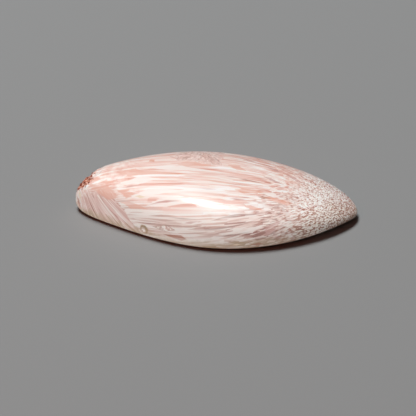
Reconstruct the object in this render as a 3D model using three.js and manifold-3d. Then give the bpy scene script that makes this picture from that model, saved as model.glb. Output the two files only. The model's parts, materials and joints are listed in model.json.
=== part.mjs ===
// A polished scolecite cabochon: one marquise stone with a domed top, a flat back and a bevelled rim.
// Millimetres, +Z up. X runs along the stone, from its blunt end (-X) to its pointed end (+X).
// The origin is on the flat back, under the middle of the stone's box.

import * as THREE from 'three';
import { LoftGeometry } from 'three/addons/geometries/LoftGeometry.js';
import { mergeVertices } from 'three/addons/utils/BufferGeometryUtils.js';
import Module from 'manifold-3d';

// Driving dimensions of the stone
const LENGTH = 40;
const HALF_LENGTH = LENGTH / 2;

// Plan: half the width is a lens between the two ends, on top of each end's own half width
const LENS_HALF_WIDTH = 6.63;
const LENS_SKEW = 0.05;
const LENS_SLIMMING = -0.33;
const BLUNT_HALF_WIDTH = 1.63;
const POINTED_HALF_WIDTH = 3.77;

// Crest: the dome's height above the back, a low arch on top of each end's own height
const ARCH_HEIGHT = 2.76;
const ARCH_SKEW = -0.49;
const ARCH_FULLNESS = 0.11;
const BLUNT_HEIGHT = 5.2;
const POINTED_HEIGHT = 3.21;

// Ends: how suddenly each nose closes, and how high above the back it closes
const BLUNT_NOSE_POWER = 19.2;
const POINTED_NOSE_POWER = 6.35;
const NOSE_LEVEL_SHARE = 0.25;
const BLUNT_ROLL_START = 0.86;
const POINTED_ROLL_START = 0.7;

// Cross-section: a full dome over a small bevel that is ground round the back
const DOME_POWER = 2.7;
const BEVEL_HEIGHT = 0.4;
const BEVEL_INSET = 0.7;
const TIP_EXTRA_HEIGHT = 1.15;
const TIP_EXTRA_INSET = 1.8;
const TIP_BEVEL_POWER = 4;

// The rough rind facet left on the blunt end's top, as a plane: its outward direction and distance
const RIND_NORMAL = new THREE.Vector3(-0.68, 0.2, 0.7).normalize();
const RIND_DISTANCE = 16;
const RIND_BLOCK = 30;

// Natural pits: place along the stone (-1 to 1), degrees round the dome from the near rim, then half its
// length along the stone, half its width round the dome, and its depth
const PITS = [
  { along: -0.97, angle: 17, long: 0.2, wide: 0.38, deep: 0.2 },
  { along: -0.958, angle: 39, long: 0.17, wide: 0.3, deep: 0.15 },
  { along: -0.483, angle: 9, long: 0.42, wide: 0.34, deep: 0.2 },
  { along: -0.32, angle: 19.5, long: 1, wide: 0.24, deep: 0.12 },
];
const PIT_SIDES = 12;
const PIT_RINGS = 8;

// Fineness of the mesh: the stations along the stone, how many of them each tip's small flat leaves out,
// the steps over the dome, and the step that finds the dome's slope at a pit
const STATIONS = 88;
const TIP_STATIONS = 2;
const DOME_STEPS = 34;
const SLOPE_STEP = 0.01;

// A value that runs from the blunt end's to the pointed end's as u goes from -1 to 1.
function fromEndToEnd(blunt, pointed, u) {
  return THREE.MathUtils.lerp(blunt, pointed, (1 + u) / 2);
}

// A smooth arch over u from -1 to 1, leaning by skew and filled out by fullness.
function arch(u, skew, fullness) {
  return (1 - u * u) * (1 + skew * u + fullness * u * u);
}

// 1 along the stone, closing to 0 at each nose.
function nose(u) {
  const power = u < 0 ? BLUNT_NOSE_POWER : POINTED_NOSE_POWER;
  return Math.sqrt(Math.max(0, 1 - Math.abs(u) ** power));
}

// 0 over the flat of the back, then a quarter round up to 1 at each nose.
function roll(u) {
  const start = u < 0 ? BLUNT_ROLL_START : POINTED_ROLL_START;
  const t = THREE.MathUtils.clamp((Math.abs(u) - start) / (1 - start), 0, 1);
  return 1 - Math.sqrt(1 - t * t);
}

// The sizes of the cross-section at u.
function sectionAt(u) {
  const closing = nose(u);
  const endHeight = fromEndToEnd(BLUNT_HEIGHT, POINTED_HEIGHT, u);
  const noseLevel = NOSE_LEVEL_SHARE * endHeight;
  const lens = LENS_HALF_WIDTH * arch(u, LENS_SKEW, LENS_SLIMMING);
  const halfWidth = closing * (lens + fromEndToEnd(BLUNT_HALF_WIDTH, POINTED_HALF_WIDTH, u));
  const rise = ARCH_HEIGHT * arch(u, ARCH_SKEW, ARCH_FULLNESS) + endHeight - noseLevel;
  const towardsTip = ((1 + u) / 2) ** TIP_BEVEL_POWER;
  const bevelHeight = BEVEL_HEIGHT + TIP_EXTRA_HEIGHT * towardsTip;
  const bevelInset = BEVEL_INSET + TIP_EXTRA_INSET * towardsTip;
  const back = noseLevel * roll(u);
  return {
    x: HALF_LENGTH * u,
    halfWidth,
    crest: noseLevel + closing * rise,
    back,
    rim: Math.max(back, THREE.MathUtils.lerp(noseLevel, bevelHeight, closing)),
    inset: Math.min(bevelInset, halfWidth / 2),
  };
}

// A point on the dome at an angle from the near rim (0) over the crest (PI / 2) to the far rim (PI).
function domePoint(section, angle) {
  const across = -Math.cos(angle);
  const up = Math.sin(angle);
  const reach = (Math.abs(across) ** DOME_POWER + up ** DOME_POWER) ** (-1 / DOME_POWER);
  return new THREE.Vector3(
    section.x,
    section.halfWidth * across * reach,
    section.rim + (section.crest - section.rim) * up * reach,
  );
}

// One closed ring round the stone: over the dome from the near rim, then back along the flat underside.
function ring(section) {
  const points = [];
  for (let i = 0; i <= DOME_STEPS; i++) {
    points.push(domePoint(section, (Math.PI * i) / DOME_STEPS));
  }
  const edge = section.halfWidth - section.inset;
  points.push(new THREE.Vector3(section.x, edge, section.back));
  points.push(new THREE.Vector3(section.x, -edge, section.back));
  return points.reverse();
}

// The whole stone before any natural damage, lofted from nose to nose with stations bunched at the ends.
function polishedForm() {
  const sections = [];
  for (let i = TIP_STATIONS; i <= STATIONS - TIP_STATIONS; i++) {
    sections.push(ring(sectionAt(-Math.cos((Math.PI * i) / STATIONS))));
  }
  return new LoftGeometry(sections, { capStart: true, capEnd: true });
}

// A three.js geometry as a manifold-3d solid, and back.
const wasm = await Module();
wasm.setup();

function solidFrom(geometry) {
  const bare = new THREE.BufferGeometry();
  bare.setAttribute('position', geometry.getAttribute('position').clone());
  bare.setIndex(geometry.index);
  const merged = mergeVertices(bare, 1e-4);
  return new wasm.Manifold(
    new wasm.Mesh({
      numProp: 3,
      vertProperties: new Float32Array(merged.getAttribute('position').array),
      triVerts: new Uint32Array(merged.index.array),
    }),
  );
}

function geometryFrom(solid) {
  const { vertProperties, triVerts } = solid.getMesh();
  const geometry = new THREE.BufferGeometry();
  geometry.setAttribute('position', new THREE.BufferAttribute(vertProperties, 3));
  geometry.setIndex(new THREE.BufferAttribute(triVerts, 1));
  geometry.computeVertexNormals();
  return geometry;
}

// The block whose lower face takes the rind facet off the blunt end.
function rindBlock() {
  const block = new THREE.BoxGeometry(RIND_BLOCK, RIND_BLOCK, RIND_BLOCK);
  const turn = new THREE.Quaternion().setFromUnitVectors(new THREE.Vector3(0, 0, 1), RIND_NORMAL);
  block.applyQuaternion(turn);
  const centre = RIND_NORMAL.clone().multiplyScalar(RIND_DISTANCE + RIND_BLOCK / 2);
  block.translate(centre.x, centre.y, centre.z);
  return block;
}

// A pit is a flattened ball sunk into the dome, turned to the dome's slope.
function pitBall({ along, angle, long, wide, deep }) {
  const turn = THREE.MathUtils.degToRad(angle);
  const section = sectionAt(along);
  const centre = domePoint(section, turn);
  const ahead = domePoint(sectionAt(along + SLOPE_STEP), turn).sub(centre).normalize();
  const around = domePoint(section, turn + SLOPE_STEP).sub(centre).normalize();
  const outward = new THREE.Vector3().crossVectors(ahead, around).normalize();
  const sideways = new THREE.Vector3().crossVectors(outward, ahead);
  const ball = new THREE.SphereGeometry(1, PIT_SIDES, PIT_RINGS);
  ball.scale(long, wide, deep);
  ball.applyMatrix4(new THREE.Matrix4().makeBasis(ahead, sideways, outward));
  ball.translate(centre.x, centre.y, centre.z);
  return ball;
}

function stoneGeometry() {
  let stone = solidFrom(polishedForm()).subtract(solidFrom(rindBlock()));
  for (const pit of PITS) {
    stone = stone.subtract(solidFrom(pitBall(pit)));
  }
  const geometry = geometryFrom(stone);
  geometry.computeBoundingBox();
  const middle = geometry.boundingBox.getCenter(new THREE.Vector3());
  geometry.translate(-middle.x, -middle.y, -geometry.boundingBox.min.z);
  return geometry;
}

const scolecite = new THREE.MeshStandardMaterial({
  color: new THREE.Color(0.83, 0.66, 0.6),
  roughness: 0.28,
  metalness: 0,
});

const cabochon = new THREE.Mesh(stoneGeometry(), scolecite);
cabochon.name = 'cabochon';

const stone = new THREE.Group();
stone.add(cabochon);

export default stone;
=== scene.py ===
# A polished scolecite cabochon on a plain pale floor.
# Metres, +Z up, in the same frame as the solid. Patterns on the stone are worked out in millimetres.

import json
import math

import bpy
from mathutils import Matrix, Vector, noise as cloud

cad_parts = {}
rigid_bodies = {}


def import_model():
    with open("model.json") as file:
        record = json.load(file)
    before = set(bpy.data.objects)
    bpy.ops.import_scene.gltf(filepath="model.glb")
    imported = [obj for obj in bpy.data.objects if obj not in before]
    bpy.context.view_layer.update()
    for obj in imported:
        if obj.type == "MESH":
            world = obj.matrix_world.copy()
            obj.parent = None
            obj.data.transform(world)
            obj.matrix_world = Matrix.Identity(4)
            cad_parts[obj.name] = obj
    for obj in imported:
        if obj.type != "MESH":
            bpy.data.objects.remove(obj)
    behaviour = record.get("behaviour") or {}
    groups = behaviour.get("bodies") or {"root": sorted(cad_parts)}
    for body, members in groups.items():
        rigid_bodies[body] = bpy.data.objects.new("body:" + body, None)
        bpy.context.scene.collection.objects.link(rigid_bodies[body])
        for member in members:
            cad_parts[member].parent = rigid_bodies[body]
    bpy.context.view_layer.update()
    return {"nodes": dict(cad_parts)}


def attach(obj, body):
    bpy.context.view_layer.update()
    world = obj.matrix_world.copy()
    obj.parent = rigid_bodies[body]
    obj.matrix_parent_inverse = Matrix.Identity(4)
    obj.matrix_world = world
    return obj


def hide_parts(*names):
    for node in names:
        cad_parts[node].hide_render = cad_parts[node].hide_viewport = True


MM = 0.001

# Camera: where it looks from, how far away it is, and how many image pixels one millimetre covers
CAMERA_AZIMUTH = 3.76
CAMERA_ELEVATION = 35
CAMERA_DISTANCE = 430 * MM
PIXELS_PER_MM = 7.09
IMAGE_SIDE = 416
IMAGE_MIDDLE = 207.5
SENSOR_WIDTH = 36

# The point that the camera aims at, and the image pixel that it lands on
AIMED_POINT = Vector((0, 0, 3 * MM))
AIMED_PIXEL = (215.8, 194.75)

# Stone surface: fineness of the mesh, how often the polish smooths it, and its share of that in the pits
FINENESS = 0.14 * MM
POLISH_PASSES = 10
PIT_POLISH = 0.2

# From here to the stage, a size or place without MM is in millimetres
STONE_LENGTH = 40

# The rough rind facet: its plane, how deep it reaches, and the size and depth of its grain. The rust colour
# stops short of the facet's upper corner, over the width of its edge
RIND_NORMAL = Vector((-0.68, 0.2, 0.7)).normalized()
RIND_DISTANCE = 16
RIND_REACH = 0.5
RIND_GRAIN_SIZE = 0.5
RIND_GRAIN_DEPTH = 0.45
RIND_COLOUR_END = -17.2
RIND_COLOUR_EDGE = 0.6

# Natural pits: middle and half size
PITS = (
    ((-19.4, -1.2, 1.7), 0.5),
    ((-19.2, -1.3, 3.2), 0.4),
    ((-9.7, -6.7, 1.4), 0.5),
    ((-6.4, -7.9, 2.7), 1.0),
)

# The pit by the lower edge has a crust round white fluff
CRUST = ((-9.75, -6.95, 1.5), 0.8)
FLUFF = ((-9.85, -7.0, 1.35), 0.56)

# The bevel round the back: its height, what it gains towards the tip, and where along x the warm shade
# painted on it fades
BEVEL_TOP = 0.36
BEVEL_GAIN = 1.1
BEVEL_SHADE_FADE = (16, 8)

# A beige margin runs above the bevel: its height at the blunt end, and the stages in which that changes
# along x: where each starts and is full, and what it adds
MARGIN_HEIGHT = 0.95
MARGIN_STAGES = (
    (-3, 1, 0.3),
    (8, 14, -0.85),
)


def srgb(red, green, blue):
    """A colour as seen on a screen, 0 to 255, as the linear colour that a shader takes."""
    def linear(value):
        value /= 255
        return value / 12.92 if value <= 0.04045 else ((value + 0.055) / 1.055) ** 2.4
    return (linear(red), linear(green), linear(blue), 1)


# Colours of the mineral, as stops from its palest needles to its darkest
DOME_COLOURS = (
    (0.28, srgb(255, 249, 246)),
    (0.42, srgb(251, 236, 229)),
    (0.54, srgb(246, 219, 210)),
    (0.68, srgb(240, 198, 186)),
    (0.86, srgb(222, 162, 147)),
)
FLANK_COLOURS = (
    (0.26, srgb(253, 238, 231)),
    (0.42, srgb(243, 219, 210)),
    (0.56, srgb(229, 197, 187)),
    (0.7, srgb(210, 170, 160)),
    (0.86, srgb(184, 139, 130)),
)
BURST_COLOURS = (
    (0.36, srgb(254, 236, 229)),
    (0.52, srgb(240, 208, 199)),
    (0.72, srgb(206, 166, 155)),
)
FAN_COLOURS = (
    (0.26, srgb(254, 236, 229)),
    (0.42, srgb(246, 217, 208)),
    (0.56, srgb(234, 197, 188)),
    (0.7, srgb(218, 171, 161)),
    (0.86, srgb(190, 138, 128)),
)
TIP_COLOURS = (
    (0.36, srgb(255, 252, 248)),
    (0.47, srgb(251, 234, 227)),
    (0.58, srgb(226, 187, 174)),
    (0.72, srgb(180, 126, 111)),
)
LOW_TIP_COLOURS = (
    (0.33, srgb(247, 238, 230)),
    (0.43, srgb(232, 211, 200)),
    (0.54, srgb(198, 159, 143)),
    (0.7, srgb(164, 121, 104)),
)
RIND_COLOURS = (
    (0.34, srgb(92, 44, 36)),
    (0.45, srgb(160, 88, 68)),
    (0.56, srgb(206, 140, 116)),
    (0.66, srgb(236, 198, 182)),
)
BEAD_COLOURS = (
    (0.42, srgb(253, 240, 232)),
    (0.52, srgb(238, 213, 204)),
    (0.62, srgb(212, 176, 166)),
)
MILK = srgb(251, 238, 232)
CORAL = srgb(236, 184, 167)
SALMON = srgb(233, 172, 151)
ROSE = srgb(214, 168, 160)
MAUVE = srgb(176, 136, 128)
BROWN = srgb(194, 140, 122)
BEIGE = srgb(240, 217, 194)
OLIVE = srgb(184, 152, 124)
MARGIN = srgb(202, 174, 148)
# Rust brown for the bevel, which lies in shade under the stone: painted warm shade that makes the brown
# shadow line there
WARM_SHADE_BROWN = srgb(176, 88, 60)


# Shader maths

class Tree:
    """A material's nodes."""

    def __init__(self, material):
        material.use_nodes = True
        self.nodes = material.node_tree.nodes
        self.links = material.node_tree.links
        self.nodes.clear()

    def add(self, kind, settings=None, sockets=None):
        """One node: its settings first, then the values or wires of its sockets."""
        node = self.nodes.new(kind)
        for name, value in (settings or {}).items():
            if name == "stops":
                self.set_stops(node.color_ramp, value)
            else:
                setattr(node, name, value)
        for name, value in (sockets or {}).items():
            self.feed(node.inputs[name], value)
        return node

    @staticmethod
    def set_stops(ramp, stops):
        while len(ramp.elements) > 1:
            ramp.elements.remove(ramp.elements[-1])
        ramp.elements[0].position, ramp.elements[0].color = stops[0]
        for position, colour in stops[1:]:
            ramp.elements.new(position).color = colour

    def feed(self, socket, value):
        if isinstance(value, Wire):
            self.links.new(value.socket, socket)
        else:
            socket.default_value = value

    def maths(self, operation, *values):
        node = self.add("ShaderNodeMath", {"operation": operation})
        for socket, value in zip(node.inputs, values):
            self.feed(socket, value)
        return Wire(self, node.outputs[0])


class Wire:
    """A number on a node's socket. Arithmetic on it adds Math nodes."""

    def __init__(self, tree, socket):
        self.tree = tree
        self.socket = socket

    def __add__(self, other):
        return self.tree.maths("ADD", self, other)

    __radd__ = __add__

    def __mul__(self, other):
        return self.tree.maths("MULTIPLY", self, other)

    __rmul__ = __mul__

    def __sub__(self, other):
        return self.tree.maths("SUBTRACT", self, other)

    def __rsub__(self, other):
        return self.tree.maths("SUBTRACT", other, self)

    def __truediv__(self, other):
        return self.tree.maths("DIVIDE", self, other)

    def root(self):
        return self.tree.maths("SQRT", self)

    def at_least(self, other):
        return self.tree.maths("MAXIMUM", self, other)

    def at_most(self, other):
        return self.tree.maths("MINIMUM", self, other)

    def step(self, low, high):
        """0 up to low, then smoothly to 1 at high. It falls instead if low is above high."""
        node = self.tree.add(
            "ShaderNodeMapRange",
            {"interpolation_type": "SMOOTHSTEP"},
            {"Value": self, "From Min": low, "From Max": high},
        )
        return Wire(self.tree, node.outputs["Result"])


def joined(tree, place):
    """Three wires as one vector."""
    node = tree.add("ShaderNodeCombineXYZ", None, dict(zip("XYZ", place)))
    return Wire(tree, node.outputs[0])


def noise(tree, place, size, detail=1, roughness=0.5):
    """Cloudy noise about 0.5. Place is three wires in millimetres, and size is that of its lumps."""
    node = tree.add(
        "ShaderNodeTexNoise",
        {"noise_dimensions": "3D"},
        {"Vector": joined(tree, place), "Scale": 1 / size, "Detail": detail, "Roughness": roughness},
    )
    return Wire(tree, node.outputs["Fac"])


def cells(tree, place, size):
    """Crystals side by side: a random value about 0 for each, and how far from its middle a place is."""
    node = tree.add(
        "ShaderNodeTexVoronoi",
        {"voronoi_dimensions": "3D", "feature": "F1"},
        {"Vector": joined(tree, place), "Scale": 1 / size},
    )
    return Wire(tree, node.outputs["Color"]) - 0.5, Wire(tree, node.outputs["Distance"])


def blend(tree, amount, under, over):
    """The colour under where amount is 0 and over where it is 1."""
    node = tree.add("ShaderNodeMix", {"data_type": "RGBA"})
    tree.feed(node.inputs["Factor"], amount)
    tree.feed(node.inputs[6], under)
    tree.feed(node.inputs[7], over)
    return Wire(tree, node.outputs[2])


def shade(tree, tone, stops):
    """The colour of a tone between the stops."""
    node = tree.add("ShaderNodeValToRGB", {"stops": stops}, {"Fac": tone})
    return Wire(tree, node.outputs["Color"])


# Fibre directions

# Most needles run along the stone and sink a little with its dome, so that the polish cuts them lengthwise.
# Over the dome they drift across and bend down to the tip, and on the flanks they follow the outline
MIDLINE = 1.2
MIDLINE_DRIFT = 0.11
MIDLINE_BEND = 0.012
BEND_START = 4.0
DOME_CLOSING = 0.0022
FLANK_CLOSING = 0.0039
FLANK_HEIGHT = 5.0
FLANK_BLEND = 2.4
FLANK_RISE = 0.165
CREST = -2.2
BLUNT_SINKING = 0.0007
POINTED_SINKING = 0.0041
FLANK_SINKING_SHARE = 0.12

# A second spray fans down the near flank of the blunt end, to a slanting border on its right and at its top
FAN_SOURCE = (-20.0, -0.6, 7.7)
FAN_AXIS = Vector((0.71, -0.45, -0.54)).normalized()
FAN_REACH = 10.0
FAN_RIGHT = -9.7
FAN_RIGHT_LEAN = 0.88
FAN_TOP = 8.06
FAN_TOP_RISE = 0.2
FAN_NEAR = -0.6

# A third comes up through the top of the far shoulder, where the polish cuts it across. Below the shoulder
# its part gets narrower
BURST_SOURCE = (-2.4, 5.8, 4.4)
BURST_REACH = 3.0
BURST_LEFT = -5.6
BURST_RIGHT = 0.4
BURST_NEAR = 2.1
BURST_SHOULDER = 6.3
BURST_NARROWING = 0.75

# Towards the pointed end the needles get shorter, to wedges, then strokes, then dots. Lines of equal length
# slant past the crest. Each stage: where it starts and ends, and what it adds to a step along the needles
SLANT = 0.2
SLANT_START = -4.0
SHORTENINGS = (
    (-4.0, 2.0, 0.05),
    (5.0, 9.5, 0.23),
    (12.5, 18.0, 0.6),
)


def main_fibres(x, y, z):
    """Places that stay the same along each needle of the main bundle: (along, across, up)."""
    flank = z.step(FLANK_HEIGHT + FLANK_BLEND, FLANK_HEIGHT - FLANK_BLEND)
    squared = x * x
    bend = (x - BEND_START).at_least(0)
    off_midline = y - x * MIDLINE_DRIFT - MIDLINE + bend * bend * MIDLINE_BEND
    over_dome = off_midline * (squared * DOME_CLOSING + 1)
    over_flank = y * (squared * FLANK_CLOSING + 1)
    past = x - CREST
    sinking = BLUNT_SINKING + (POINTED_SINKING - BLUNT_SINKING) * past.step(-1, 1)
    share = 1 - flank * (1 - FLANK_SINKING_SHARE)
    up = z * (past * past * sinking * share + 1) - x * flank * FLANK_RISE
    return x, over_dome + (over_flank - over_dome) * flank, up


def fan_fibres(x, y, z):
    """The same for the fan: straight needles from one source."""
    side = FAN_AXIS.cross(Vector((0, 0, 1))).normalized()
    over = side.cross(FAN_AXIS)
    off = (x - FAN_SOURCE[0], y - FAN_SOURCE[1], z - FAN_SOURCE[2])

    def part(direction):
        return off[0] * direction.x + off[1] * direction.y + off[2] * direction.z

    along = part(FAN_AXIS).at_least(1)
    return along, part(side) * FAN_REACH / along, part(over) * FAN_REACH / along


def burst_fibres(x, y, z):
    """The same for the burst under the far shoulder."""
    off = (x - BURST_SOURCE[0], y - BURST_SOURCE[1], z - BURST_SOURCE[2])
    along = (off[0] * off[0] + off[1] * off[1] + off[2] * off[2]).root().at_least(0.5)
    return along, off[0] * BURST_REACH / along, off[1] * BURST_REACH / along


def in_fan(x, y, z, waver):
    """1 in the fan's part of the near flank, with a wavering border."""
    right = FAN_RIGHT - x - z * FAN_RIGHT_LEAN
    top = FAN_TOP + x * FAN_TOP_RISE - z
    near = FAN_NEAR - y
    return (right.at_most(top).at_most(near) + waver * 1.6).step(-0.08, 0.08)


def in_burst(x, y, z, waver):
    """1 in the burst's part of the far shoulder, which narrows down the far flank."""
    narrowing = (BURST_SHOULDER - z).at_least(0) * BURST_NARROWING
    left = x - BURST_LEFT - narrowing
    right = BURST_RIGHT - x - narrowing
    near = y - BURST_NEAR
    return (left.at_most(right).at_most(near) + waver * 4).step(-0.3, 0.6)


def shortened(x, y):
    """What is added to the place along a needle, so that streaks shrink to strokes and then to dots."""
    ahead = x - (y - SLANT_START).at_least(0) * SLANT
    added = 0
    for start, end, share in SHORTENINGS:
        inside = ((ahead - start) / (end - start)).at_least(0).at_most(1)
        added = added + (inside * inside * ((end - start) / 2) + (ahead - end).at_least(0)) * share
    return added


def switched(amount, place, other):
    """One place where amount is 0 and the other where it is 1."""
    return tuple(a + (b - a) * amount for a, b in zip(place, other))


def stretched(place, length, width, extra=0):
    """Fibre places squeezed along the needles, so that round lumps of noise come out long."""
    return place[0] * (width / length) + extra, place[1], place[2]


# Flame-shaped marks that lie in one place each. They widen from their start and taper off again. Each mark:
# from where it is seen, start, length, half width, turn in degrees, and the share of its length where it is
# widest
ABOVE = "seen from above"
FRONT = "seen from the front"
MILK_FLAMES = (
    (ABOVE, (-10.5, -0.05, 7.3), 13.6, 0.55, 0.5, 0.25),
    (ABOVE, (-6.7, -3.95, 6.9), 7.0, 0.25, 4, 0.4),
    (ABOVE, (-13.4, -2.9, 6.7), 5.6, 0.7, 3, 0.5),
    (ABOVE, (-12.0, -4.7, 6.3), 9.0, 0.45, 0, 0.4),
    (ABOVE, (-9.6, -6.0, 5.8), 8.4, 0.55, -2, 0.4),
    (ABOVE, (6.6, -3.05, 5.8), 2.7, 0.45, -5, 0.5),
    (ABOVE, (9.3, -4.9, 4.7), 2.9, 0.5, 2, 0.5),
    (FRONT, (3.6, -9.0, 2.9), 3.4, 0.42, 12, 0.5),
)
CORAL_FLAMES = (
    (FRONT, (-17.6, -2.2, 5.0), 3.9, 0.95, 0, 0.7),
    (FRONT, (-13.9, -3.6, 5.7), 2.7, 0.55, -2, 0.7),
    (FRONT, (-12.7, -5.0, 4.4), 3.9, 0.5, 2, 0.2),
    (ABOVE, (-14.0, -0.9, 6.9), 4.6, 1.0, -6, 0.5),
    (ABOVE, (-12.0, -1.4, 7.2), 9.0, 0.4, 1, 0.2),
    (ABOVE, (-9.2, -2.3, 7.2), 6.8, 0.2, 1, 0.6),
    (ABOVE, (-2.0, -2.2, 6.9), 6.0, 0.22, 0, 0.4),
    (ABOVE, (-15.8, -2.1, 6.0), 1.4, 0.35, -10, 0.4),
    (ABOVE, (-16.8, -1.0, 6.1), 1.6, 0.2, 10, 0.5),
    (ABOVE, (7.9, -4.2, 5.5), 3.7, 0.5, 3, 0.6),
    (ABOVE, (1.3, 2.6, 6.7), 3.0, 0.65, -22, 0.45),
    (ABOVE, (9.4, 0.8, 5.4), 3.4, 0.6, -4, 0.5),
    (ABOVE, (-18.2, -1.2, 5.3), 2.2, 0.5, -9, 0.4),
    (FRONT, (-18.0, -1.8, 4.8), 1.4, 0.23, 30, 0.5),
    (ABOVE, (-6.4, 1.1, 7.4), 6.6, 0.7, 3, 0.4),
)
SALMON_FLAMES = (
    (ABOVE, (3.0, -3.4, 6.4), 4.0, 0.58, 6.5, 0.18),
    (ABOVE, (6.0, -4.0, 5.8), 5.4, 0.42, 1, 0.5),
    (ABOVE, (-8.2, -1.3, 7.3), 5.6, 0.17, 0, 0.5),
    (ABOVE, (-9.6, 1.5, 7.2), 1.0, 0.5, 30, 0.5),
    (ABOVE, (4.3, -6.05, 5.5), 2.9, 0.32, -2, 0.3),
)
ROSE_FLAMES = (
    (ABOVE, (-7.1, 3.35, 7.0), 2.0, 0.16, -30, 0.6),
    (ABOVE, (-12.9, -3.5, 6.0), 2.7, 0.12, -2, 0.3),
    (ABOVE, (-9.1, -6.0, 5.6), 4.7, 0.14, -2, 0.5),
    (ABOVE, (-2.3, -4.1, 6.8), 2.7, 0.1, 4, 0.5),
    (ABOVE, (1.9, -2.35, 6.6), 3.0, 0.1, 4, 0.5),
    (ABOVE, (1.6, -0.65, 6.8), 2.0, 0.12, 4, 0.5),
    (ABOVE, (4.0, -0.85, 6.5), 1.7, 0.12, 4, 0.5),
    (ABOVE, (3.4, -4.7, 6.1), 1.8, 0.11, 6, 0.5),
    (ABOVE, (2.1, -5.25, 6.1), 2.7, 0.2, 5, 0.4),
    (ABOVE, (5.4, -5.0, 5.7), 1.0, 0.14, 5, 0.4),
    (ABOVE, (7.2, -5.1, 5.4), 1.6, 0.15, 5, 0.4),
    (FRONT, (7.0, -8.4, 2.5), 2.9, 0.6, 31, 0.35),
    (ABOVE, (9.4, -5.75, 4.3), 1.8, 0.32, 0, 0.4),
    (FRONT, (-3.9, -8.2, 3.8), 2.4, 0.16, 13, 0.4),
    (ABOVE, (2.5, 5.2, 6.1), 4.0, 0.3, -17, 0.4),
    (ABOVE, (6.3, 3.9, 5.8), 3.4, 0.32, -23, 0.4),
    (ABOVE, (9.5, 2.7, 5.3), 3.4, 0.3, -33, 0.4),
    (ABOVE, (6.7, 0.8, 5.9), 3.0, 0.3, -21, 0.4),
)
MAUVE_FLAMES = (
    (ABOVE, (-1.7, 4.6, 6.7), 2.0, 0.14, -59, 0.5),
    (ABOVE, (-0.8, 4.3, 6.7), 2.4, 0.16, -55, 0.5),
    (ABOVE, (0.0, -8.3, 4.7), 6.6, 0.2, 13, 0.5),
    (FRONT, (-2.6, -8.9, 3.0), 9.2, 0.12, 9, 0.4),
    (FRONT, (0.4, -9.2, 2.4), 4.7, 0.12, 8, 0.4),
    (FRONT, (-6.2, -7.5, 4.2), 4.4, 0.1, 4, 0.5),
    (FRONT, (5.7, -8.9, 1.9), 4.3, 0.13, 9, 0.12),
)
BROWN_FLAMES = (
    (FRONT, (-7.1, -7.7, 1.5), 3.6, 0.42, 0, 0.75),
    (FRONT, (9.3, -8.1, 1.3), 1.5, 0.25, 14, 0.5),
    (FRONT, (5.1, -9.1, 1.15), 2.1, 0.22, 2, 0.6),
    (ABOVE, (6.0, -4.0, 5.8), 2.0, 0.28, 1, 0.3),
    (ABOVE, (3.2, -0.8, 6.5), 3.6, 0.17, -2, 0.3),
    (FRONT, (-19.55, -1.2, 2.5), 1.6, 0.26, -76, 0.5),
)
BEIGE_FLAMES = (
    (FRONT, (-11.0, -4.9, 5.65), 1.5, 0.16, 8, 0.5),
    (FRONT, (2.6, -9.3, 1.2), 1.6, 0.14, 4, 0.5),
    (FRONT, (-19.35, -1.2, 3.9), 1.7, 0.16, -78, 0.5),
)
BEAD_FLAME = (FRONT, (-8.5, -7.8, 2.35), 3.2, 0.5, 4, 0.6)

# The marks in the order that they cover each other: colour, how ragged their ends are, and strength
MARKS = (
    (MILK_FLAMES, MILK, 3, 1),
    (CORAL_FLAMES, CORAL, 3, 1),
    (SALMON_FLAMES, SALMON, 1.5, 1),
    (ROSE_FLAMES, ROSE, 3, 1),
    (BROWN_FLAMES, BROWN, 0.9, 1),
    (MAUVE_FLAMES, MAUVE, 0.9, 0.7),
)
BEIGE_RAGGEDNESS = 0.6

# Marks seen from above are hidden low down, and marks seen from the front on the far side: where they start
# to fade and are gone
HIDDEN_ABOVE = (2, 1)
HIDDEN_FRONT = (-1, 0)
HIDING = 5


def flame(x, y, z, fray, seen, start, length, half_width, turn, widest):
    """How far inside a flame a place is, in millimetres. The fray moves needles' ends along it."""
    cosine, sine = math.cos(math.radians(turn)), math.sin(math.radians(turn))
    right = x - start[0]
    up = y - start[1] if seen == ABOVE else z - start[2]
    along = (right * cosine + up * sine + fray) / length
    across = up * cosine - right * sine
    taper = (along / widest).at_most((1 - along) / (1 - widest))
    hidden = z.step(*HIDDEN_ABOVE) if seen == ABOVE else y.step(*HIDDEN_FRONT)
    return (taper - hidden * HIDING) * half_width - (across * across).root()


def flames(x, y, z, fray, marks):
    """1 in any of the marks, falling to 0 at their edges."""
    inside = flame(x, y, z, fray, *marks[0])
    for each in marks[1:]:
        inside = inside.at_least(flame(x, y, z, fray, *each))
    return inside.step(-0.05, 0.06)


def in_pit(x, y, z, waver, pit):
    """1 in a pit, falling to 0 at its wavering edge."""
    middle, size = pit
    off = x - middle[0], y - middle[1], z - middle[2]
    distance = (off[0] * off[0] + off[1] * off[1] + off[2] * off[2]).root() + waver * size
    return distance.step(size, size * 0.6)


# The mineral

# Patterns along the needles: how long and how wide their lumps are. The threads' place is moved along by an
# offset, so that they don't repeat the splinters
NEEDLE_ENDS = (30, 0.25)
BANDS = (20, 1.1)
STREAKS = (15, 0.4)
SPLINTERS = (9, 0.5)
THREADS = (6, 0.2)
DOTS = (2, 0.24)
THREAD_OFFSET = 50

# Patterns that don't follow the needles: the size of their lumps
WAVER_SIZE = 1.3
PATCH_SIZE = 1.0
GRAIN_SIZE = 0.35

# Parts of the stone along x: where each starts, and from where on it is full
RIGHT_PART = (-3, 6)
LEFT_PART = (-4, -10)
BLUNT_PART = (-8.5, -13.5)
POINTED_PART = (2, 8)
PAST_MIDDLE = (-3, 1)
FAN_MIDDLE = (-17.5, -13.5)
SPECKLED_TIP = (8.5, 14)
LOW_TIP = (8.5, 12.5)

# The same along y
NEAR_FLANK = (-1, -3)
PAST_RIDGE = (-5, -2)
FAR_SHOULDER = (0.5, 3.5)
NEAR_TIP = (0.5, -2.5)

# Heights: where the dome turns into its darker flank, and where the tip's darker part starts and is full
FLANK_TOP = 4.9
LOW_PART = (4.4, 2.8)

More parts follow.
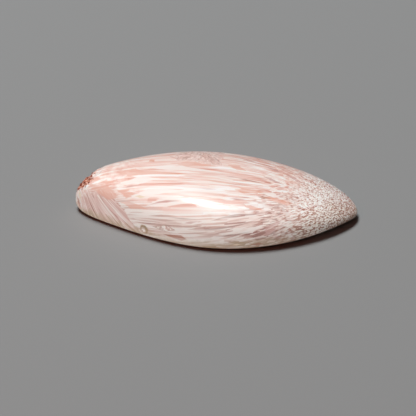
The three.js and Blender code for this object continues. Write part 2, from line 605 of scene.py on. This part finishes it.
# The tones that the needles vary about
DOME_TONE = 0.54
FLANK_TONE = 0.33
BURST_TONE = 0.42

# The dots' contrast and tone, and the stages in which they change along x, as the margin's height does
DOT_CONTRAST = 0.68
DOT_CONTRAST_STAGES = (
    (11, 14, 0.3),
    (14, 18, 1.1),
)
DOT_TONE = 0.43
DOT_TONE_STAGES = (
    (13, 16, -0.1),
    (17, 18.8, 0.12),
)

# Finish
POLISHED_ROUGHNESS = 0.2
BARE_ROUGHNESS = 0.7
SCATTER_SHARE = 0.12
SCATTER_DEPTH = 1 * MM
SCATTER_REACH = (1.0, 0.5, 0.4)


def staged(x, value, stages):
    """A value that changes in stages along x."""
    for start, full, added in stages:
        value = value + x.step(start, full) * added
    return value


class Mineral:
    """What the colours are worked out from: places in millimetres, zones from 0 to 1, and patterns."""

    def __init__(self, tree):
        self.tree = tree
        coordinates = tree.add("ShaderNodeTexCoord")
        split = tree.add(
            "ShaderNodeSeparateXYZ", None, {"Vector": Wire(tree, coordinates.outputs["Object"])}
        )
        self.place = tuple(Wire(tree, split.outputs[i]) / MM for i in range(3))
        self.waver = noise(tree, self.place, WAVER_SIZE, 2) - 0.5
        self.patches = noise(tree, self.place, PATCH_SIZE, 2) - 0.5
        self.grains = noise(tree, self.place, GRAIN_SIZE, 2)

        x, y, z = self.place
        main = main_fibres(x, y, z)
        self.ends = self.lumps(main, NEEDLE_ENDS, detail=2)
        self.fan = in_fan(x, y, z, self.waver + self.ends * 0.8)
        self.burst = in_burst(x, y, z, self.waver)
        needles = switched(self.fan, main, fan_fibres(x, y, z))
        needles = switched(self.burst, needles, burst_fibres(x, y, z))

        extra = shortened(x, y)
        self.bands = self.lumps(needles, BANDS, extra)
        self.streaks = self.lumps(needles, STREAKS, extra)
        self.splinters, _ = self.crystals(needles, SPLINTERS, extra)
        self.threads, _ = self.crystals(needles, THREADS, extra + THREAD_OFFSET)
        self.dots, self.gaps = self.crystals(needles, DOTS, extra)

    def lumps(self, needles, pattern, extra=0, detail=1):
        """Noise about 0, drawn out along the needles."""
        length, width = pattern
        return noise(self.tree, stretched(needles, length, width, extra), width, detail) - 0.5

    def crystals(self, needles, pattern, extra):
        """Single needles side by side: a value about 0 for each, and the distance from its middle."""
        length, width = pattern
        return cells(self.tree, stretched(needles, length, width, extra), width)


def needle_colour(mineral):
    """White needles in pink, darker on the near flank and in the fan, and patchy at the blunt end. Paler on
    the near side of the right half, as painted sheen round the highlight.
    """
    tree = mineral.tree
    x, y, z = mineral.place
    fan = mineral.fan
    right = x.step(*RIGHT_PART)
    pointed = x.step(*POINTED_PART)
    flank = (FLANK_TOP + 0.3 * right - z + mineral.waver * 2).step(-0.8, 0.8) * y.step(*NEAR_FLANK)
    blunt = x.step(*BLUNT_PART) * (1 - flank)

    lines = mineral.bands * (0.85 - 0.55 * fan - 0.45 * blunt - 0.2 * pointed)
    lines = lines + mineral.streaks * 0.4
    lines = lines + (mineral.patches * 0.7 + 0.06) * blunt
    lines = lines + mineral.splinters * (0.19 + 0.08 * flank + 0.1 * right - 0.16 * fan)
    lines = lines + mineral.threads * (0.32 + 0.24 * right + 0.14 * pointed + 0.36 * flank)

    # Painted sheen: on the right half, the needles before the ridge are made paler where the highlight's
    # sheen spreads
    painted_sheen_side = 1 - (y + mineral.waver * 3).step(*PAST_RIDGE)
    tone = lines + DOME_TONE + (0.18 * y.step(*FAR_SHOULDER) - 0.11 * painted_sheen_side - 0.04) * right
    tone = tone - 0.05 * x.step(*LEFT_PART)
    flank_tone = lines + FLANK_TONE + 0.15 * x.step(*PAST_MIDDLE) + 0.018 * x.at_least(0).at_most(7)
    flank_tone = flank_tone + fan * (0.23 - 0.12 * x.step(*FAN_MIDDLE))
    flank_colour = blend(
        tree, fan, shade(tree, flank_tone, FLANK_COLOURS), shade(tree, flank_tone, FAN_COLOURS)
    )
    return blend(tree, flank, shade(tree, tone, DOME_COLOURS), flank_colour)


def with_burst(mineral, colour):
    """Adds the burst on the far shoulder, where the needles are cut across."""
    tone = mineral.dots * 0.35 + mineral.gaps * 0.3 + BURST_TONE
    return blend(mineral.tree, mineral.burst * 0.8, colour, shade(mineral.tree, tone, BURST_COLOURS))


def bevel_top(x):
    """The height of the bevel's upper edge."""
    towards_tip = (x / STONE_LENGTH + 0.5).at_least(0)
    return towards_tip * towards_tip * towards_tip * towards_tip * BEVEL_GAIN + BEVEL_TOP


def in_margin(mineral):
    """1 in the margin, falling to 0 at its wavering upper edge."""
    x, _, z = mineral.place
    top = bevel_top(x) + staged(x, MARGIN_HEIGHT, MARGIN_STAGES)
    return (top - z + mineral.waver * 2).step(-0.5, 0.6)


def with_margin(mineral, colour):
    """Adds the margin, streaked like the needles that it crosses."""
    amount = in_margin(mineral) * (0.75 + mineral.bands * 0.6 + mineral.threads)
    return blend(mineral.tree, amount, colour, MARGIN)


def with_flames(mineral, colour):
    """Adds the listed marks, streaked like the needles that they cover."""
    tree = mineral.tree
    streaked = 0.8 + mineral.threads * 0.5 + mineral.splinters * 0.4
    for marks, mark_colour, raggedness, strength in MARKS:
        amount = flames(*mineral.place, mineral.ends * raggedness, marks) * streaked * strength
        colour = blend(tree, amount, colour, mark_colour)
    spots = flames(*mineral.place, mineral.ends * BEIGE_RAGGEDNESS, BEIGE_FLAMES)
    return blend(tree, spots, colour, BEIGE)


def with_speckles(mineral, colour):
    """Adds the tip, where the needles are cut across: white dots in red-brown, darker low down."""
    tree = mineral.tree
    x, y, z = mineral.place
    tip = (x - y * SLANT + mineral.waver * 4).step(*SPECKLED_TIP)
    low = (x + mineral.waver * 5).step(*LOW_TIP) * z.step(*LOW_PART) * y.step(*NEAR_TIP)
    contrast = staged(x, DOT_CONTRAST, DOT_CONTRAST_STAGES)
    tone = (mineral.dots * 0.6 + mineral.gaps * 0.9 - 0.4) * contrast
    tone = tone + mineral.bands * 0.3 + staged(x, DOT_TONE, DOT_TONE_STAGES)
    speckled = blend(tree, low, shade(tree, tone, TIP_COLOURS), shade(tree, tone, LOW_TIP_COLOURS))
    speckled = blend(tree, in_margin(mineral) * 0.5, speckled, MARGIN)
    return blend(tree, tip, colour, speckled)


def with_pits(mineral, colour):
    """Adds the crusted pit by the lower edge, and the row of pale beads in the long one next to it."""
    tree = mineral.tree
    fluffy = shade(tree, mineral.grains, BEAD_COLOURS)
    colour = blend(tree, in_pit(*mineral.place, mineral.waver, CRUST), colour, OLIVE)
    colour = blend(tree, in_pit(*mineral.place, mineral.waver, FLUFF), colour, fluffy)
    beads = flame(*mineral.place, mineral.waver, *BEAD_FLAME)
    colour = blend(tree, beads.step(-0.08, 0.05) * 0.7, colour, BROWN)
    return blend(tree, beads.step(0.02, 0.12), colour, fluffy)


def in_rind(mineral):
    """1 on the rough rind, falling to 0 at its crumbled edge."""
    x, y, z = mineral.place
    depth = RIND_DISTANCE - x * RIND_NORMAL.x - y * RIND_NORMAL.y - z * RIND_NORMAL.z
    broken = (mineral.grains - 0.5) * 0.8
    facet = (depth + broken).step(RIND_REACH, RIND_REACH * 0.68)
    return facet * (x + broken * 3).step(RIND_COLOUR_END, RIND_COLOUR_END - RIND_COLOUR_EDGE)


def in_bevel_shade(mineral):
    """1 where warm shade is painted on the bevel, but 0 on the flat back and at the tip."""
    x, _, z = mineral.place
    return (bevel_top(x) - z).step(-0.04, 0.04) * z.step(0.02, 0.08) * x.step(*BEVEL_SHADE_FADE)


def scolecite():
    """Polished scolecite: white needles in pink, cut lengthwise over the middle and across at the tip."""
    material = bpy.data.materials.new("scolecite")
    tree = Tree(material)
    mineral = Mineral(tree)
    rind = in_rind(mineral)
    bevel_shade = in_bevel_shade(mineral)
    colour = needle_colour(mineral)
    for add in (with_burst, with_margin, with_flames, with_speckles, with_pits):
        colour = add(mineral, colour)
    colour = blend(tree, rind, colour, shade(tree, mineral.grains, RIND_COLOURS))
    # Painted warm shade: the bevel sits in shade under the stone, and its rust brown makes the warm brown
    # line there
    colour = blend(tree, bevel_shade, colour, WARM_SHADE_BROWN)

    bare = rind.at_least(bevel_shade)
    for pit in PITS:
        bare = bare.at_least(in_pit(*mineral.place, mineral.waver, pit))

    shader = tree.add(
        "ShaderNodeBsdfPrincipled",
        None,
        {
            "Base Color": colour,
            "Roughness": POLISHED_ROUGHNESS + (BARE_ROUGHNESS - POLISHED_ROUGHNESS) * bare,
            "Specular IOR Level": 0.5,
            "Subsurface Weight": SCATTER_SHARE,
            "Subsurface Scale": SCATTER_DEPTH,
            "Subsurface Radius": SCATTER_REACH,
        },
    )
    output = tree.add("ShaderNodeOutputMaterial")
    tree.links.new(shader.outputs[0], output.inputs["Surface"])
    return material


# Making the stone

def select_only(piece):
    bpy.ops.object.select_all(action="DESELECT")
    piece.select_set(True)
    bpy.context.view_layer.objects.active = piece


def apply_modifier(piece, name, kind, **settings):
    """Adds one modifier to the piece and applies it."""
    select_only(piece)
    modifier = piece.modifiers.new(name, kind)
    for key, value in settings.items():
        setattr(modifier, key, value)
    bpy.ops.object.modifier_apply(modifier=modifier.name)


def rind_depth(place):
    """How far under the rind's plane a place is, in millimetres."""
    return RIND_DISTANCE - place.dot(RIND_NORMAL)


def polish(piece):
    """Smooths the piece, but hardly in the pits and not on the rind."""
    group = piece.vertex_groups.new(name="polished")
    for vertex in piece.data.vertices:
        place = vertex.co / MM
        pitted = any((place - Vector(middle)).length < size for middle, size in PITS)
        share = PIT_POLISH if pitted else 1
        if rind_depth(place) < RIND_REACH / 2:
            share = 0
        group.add([vertex.index], share, "REPLACE")
    apply_modifier(
        piece, "polish", "SMOOTH", factor=0.5, iterations=POLISH_PASSES, vertex_group=group.name
    )


def break_rind(piece):
    """Breaks the flat rind facet up into rough grains, never outwards."""
    for vertex in piece.data.vertices:
        place = vertex.co / MM
        share = max(0, 1 - rind_depth(place) / RIND_REACH)
        if share:
            coarse = cloud.noise(place / RIND_GRAIN_SIZE)
            fine = cloud.noise(place * 3 / RIND_GRAIN_SIZE)
            grain = 0.5 + 0.5 * coarse + 0.25 * fine
            depth = RIND_GRAIN_DEPTH * share * max(0, grain)
            vertex.co -= RIND_NORMAL * (depth * MM)


def stone_from(node):
    """A fine, polished copy of the solid, with its rind left rough."""
    select_only(node)
    bpy.ops.object.duplicate()
    stone = bpy.context.view_layer.objects.active
    stone.name = "polished_cabochon"
    bpy.ops.object.parent_clear(type="CLEAR_KEEP_TRANSFORM")
    stone.data.materials.clear()
    bpy.ops.object.mode_set(mode="EDIT")
    bpy.ops.mesh.select_all(action="SELECT")
    bpy.ops.mesh.remove_doubles(threshold=0.001 * MM)
    bpy.ops.object.mode_set(mode="OBJECT")
    apply_modifier(stone, "even", "REMESH", mode="VOXEL", voxel_size=FINENESS)
    polish(stone)
    break_rind(stone)
    select_only(stone)
    bpy.ops.object.shade_smooth()
    return stone


# Stage, light and camera

FLOOR_SIZE = 4
FLOOR_GREY = 0.36

# Lamps: place, width and depth in metres, and power in watts. The stone and the floor have their own lamps.
# The glow is reddish, because the real shadow is a warm brown, and the gloss only shows in the polish
KEY = ((0.0, 0.065, 0.44), 0.19, 0.19, 1.6)
FRONT_FILL = ((-0.3, -0.42, 0.26), 0.3, 0.3, 2.05)
FLOOR_KEY = ((-0.2, 0.2, 0.88), 0.32, 0.32, 7.1)
FLOOR_KEY_COLOUR = (0.95, 0.993, 1)
GLOW = ((-0.3, -0.6, 0.56), 0.6, 0.6, 0.75)
GLOW_COLOUR = (1, 0.28, 0.18)
GLOSS = ((0.004, -0.014, 0.44), 0.085, 0.16, 0.9)
GLOSS_TURN = -27
STUDIO_BRIGHTNESS = 0.011

def floor():
    """A plain pale floor without any shine."""
    bpy.ops.mesh.primitive_plane_add(size=FLOOR_SIZE)
    plane = bpy.context.object
    plane.name = "floor"
    material = bpy.data.materials.new("pale_floor")
    tree = Tree(material)
    shader = tree.add(
        "ShaderNodeBsdfPrincipled",
        None,
        {"Base Color": (FLOOR_GREY, FLOOR_GREY, FLOOR_GREY, 1), "Specular IOR Level": 0},
    )
    output = tree.add("ShaderNodeOutputMaterial")
    tree.links.new(shader.outputs[0], output.inputs["Surface"])
    plane.data.materials.append(material)
    return plane


def softbox(name, place, width, depth, power):
    """A soft rectangular light that faces straight down."""
    data = bpy.data.lights.new(name, "AREA")
    data.shape = "RECTANGLE"
    data.size = width
    data.size_y = depth
    data.energy = power
    light = bpy.data.objects.new(name, data)
    light.location = place
    bpy.context.scene.collection.objects.link(light)
    return light


def light_only(light, thing):
    """Keeps a light to one thing, and out of every polish."""
    light.visible_glossy = False
    lit = bpy.data.collections.new(light.name + "_receivers")
    lit.objects.link(thing)
    light.light_linking.receiver_collection = lit


def light_stone(piece):
    """One lamp overhead and one in front, for the stone alone."""
    light_only(softbox("key", *KEY), piece)
    fill = softbox("front_fill", *FRONT_FILL)
    fill.rotation_euler = (AIMED_POINT - fill.location).to_track_quat("-Z", "Y").to_euler()
    light_only(fill, piece)


def light_floor(ground):
    """One lamp overhead and a weak reddish one in front, for the floor alone."""
    floor_key = softbox("floor_key", *FLOOR_KEY)
    floor_key.data.color = FLOOR_KEY_COLOUR
    light_only(floor_key, ground)
    glow = softbox("glow", *GLOW)
    glow.data.color = GLOW_COLOUR
    light_only(glow, ground)


def studio_light(piece, ground):
    light_stone(piece)
    light_floor(ground)
    gloss = softbox("gloss", *GLOSS)
    gloss.rotation_euler = (0, 0, math.radians(GLOSS_TURN))
    gloss.visible_diffuse = False
    world = bpy.data.worlds.new("studio")
    world.use_nodes = True
    background = world.node_tree.nodes["Background"]
    background.inputs["Color"].default_value = (1, 1, 1, 1)
    background.inputs["Strength"].default_value = STUDIO_BRIGHTNESS
    bpy.context.scene.world = world


def camera():
    """The camera at the photograph's angle, which puts the aimed point on its pixel."""
    azimuth = math.radians(CAMERA_AZIMUTH)
    elevation = math.radians(CAMERA_ELEVATION)
    back = Vector((
        math.sin(azimuth) * math.cos(elevation),
        -math.cos(azimuth) * math.cos(elevation),
        math.sin(elevation),
    ))
    right = Vector((math.cos(azimuth), math.sin(azimuth), 0))
    up = back.cross(right)
    aside = (IMAGE_MIDDLE - AIMED_PIXEL[0]) / PIXELS_PER_MM * MM
    above = (AIMED_PIXEL[1] - IMAGE_MIDDLE) / PIXELS_PER_MM * MM
    data = bpy.data.cameras.new("camera")
    data.sensor_width = SENSOR_WIDTH
    data.lens = PIXELS_PER_MM * CAMERA_DISTANCE / MM * SENSOR_WIDTH / IMAGE_SIDE
    data.clip_start = 0.01
    eye = bpy.data.objects.new("camera", data)
    eye.location = AIMED_POINT + back * CAMERA_DISTANCE + right * aside + up * above
    eye.rotation_euler = (-back).to_track_quat("-Z", "Y").to_euler()
    bpy.context.scene.collection.objects.link(eye)
    bpy.context.scene.camera = eye


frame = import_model()

stone = stone_from(frame["nodes"]["cabochon"])
stone.data.materials.append(scolecite())
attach(stone, "root")
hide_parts("cabochon")

studio_light(stone, floor())
camera()
bpy.context.scene.view_settings.view_transform = "Standard"
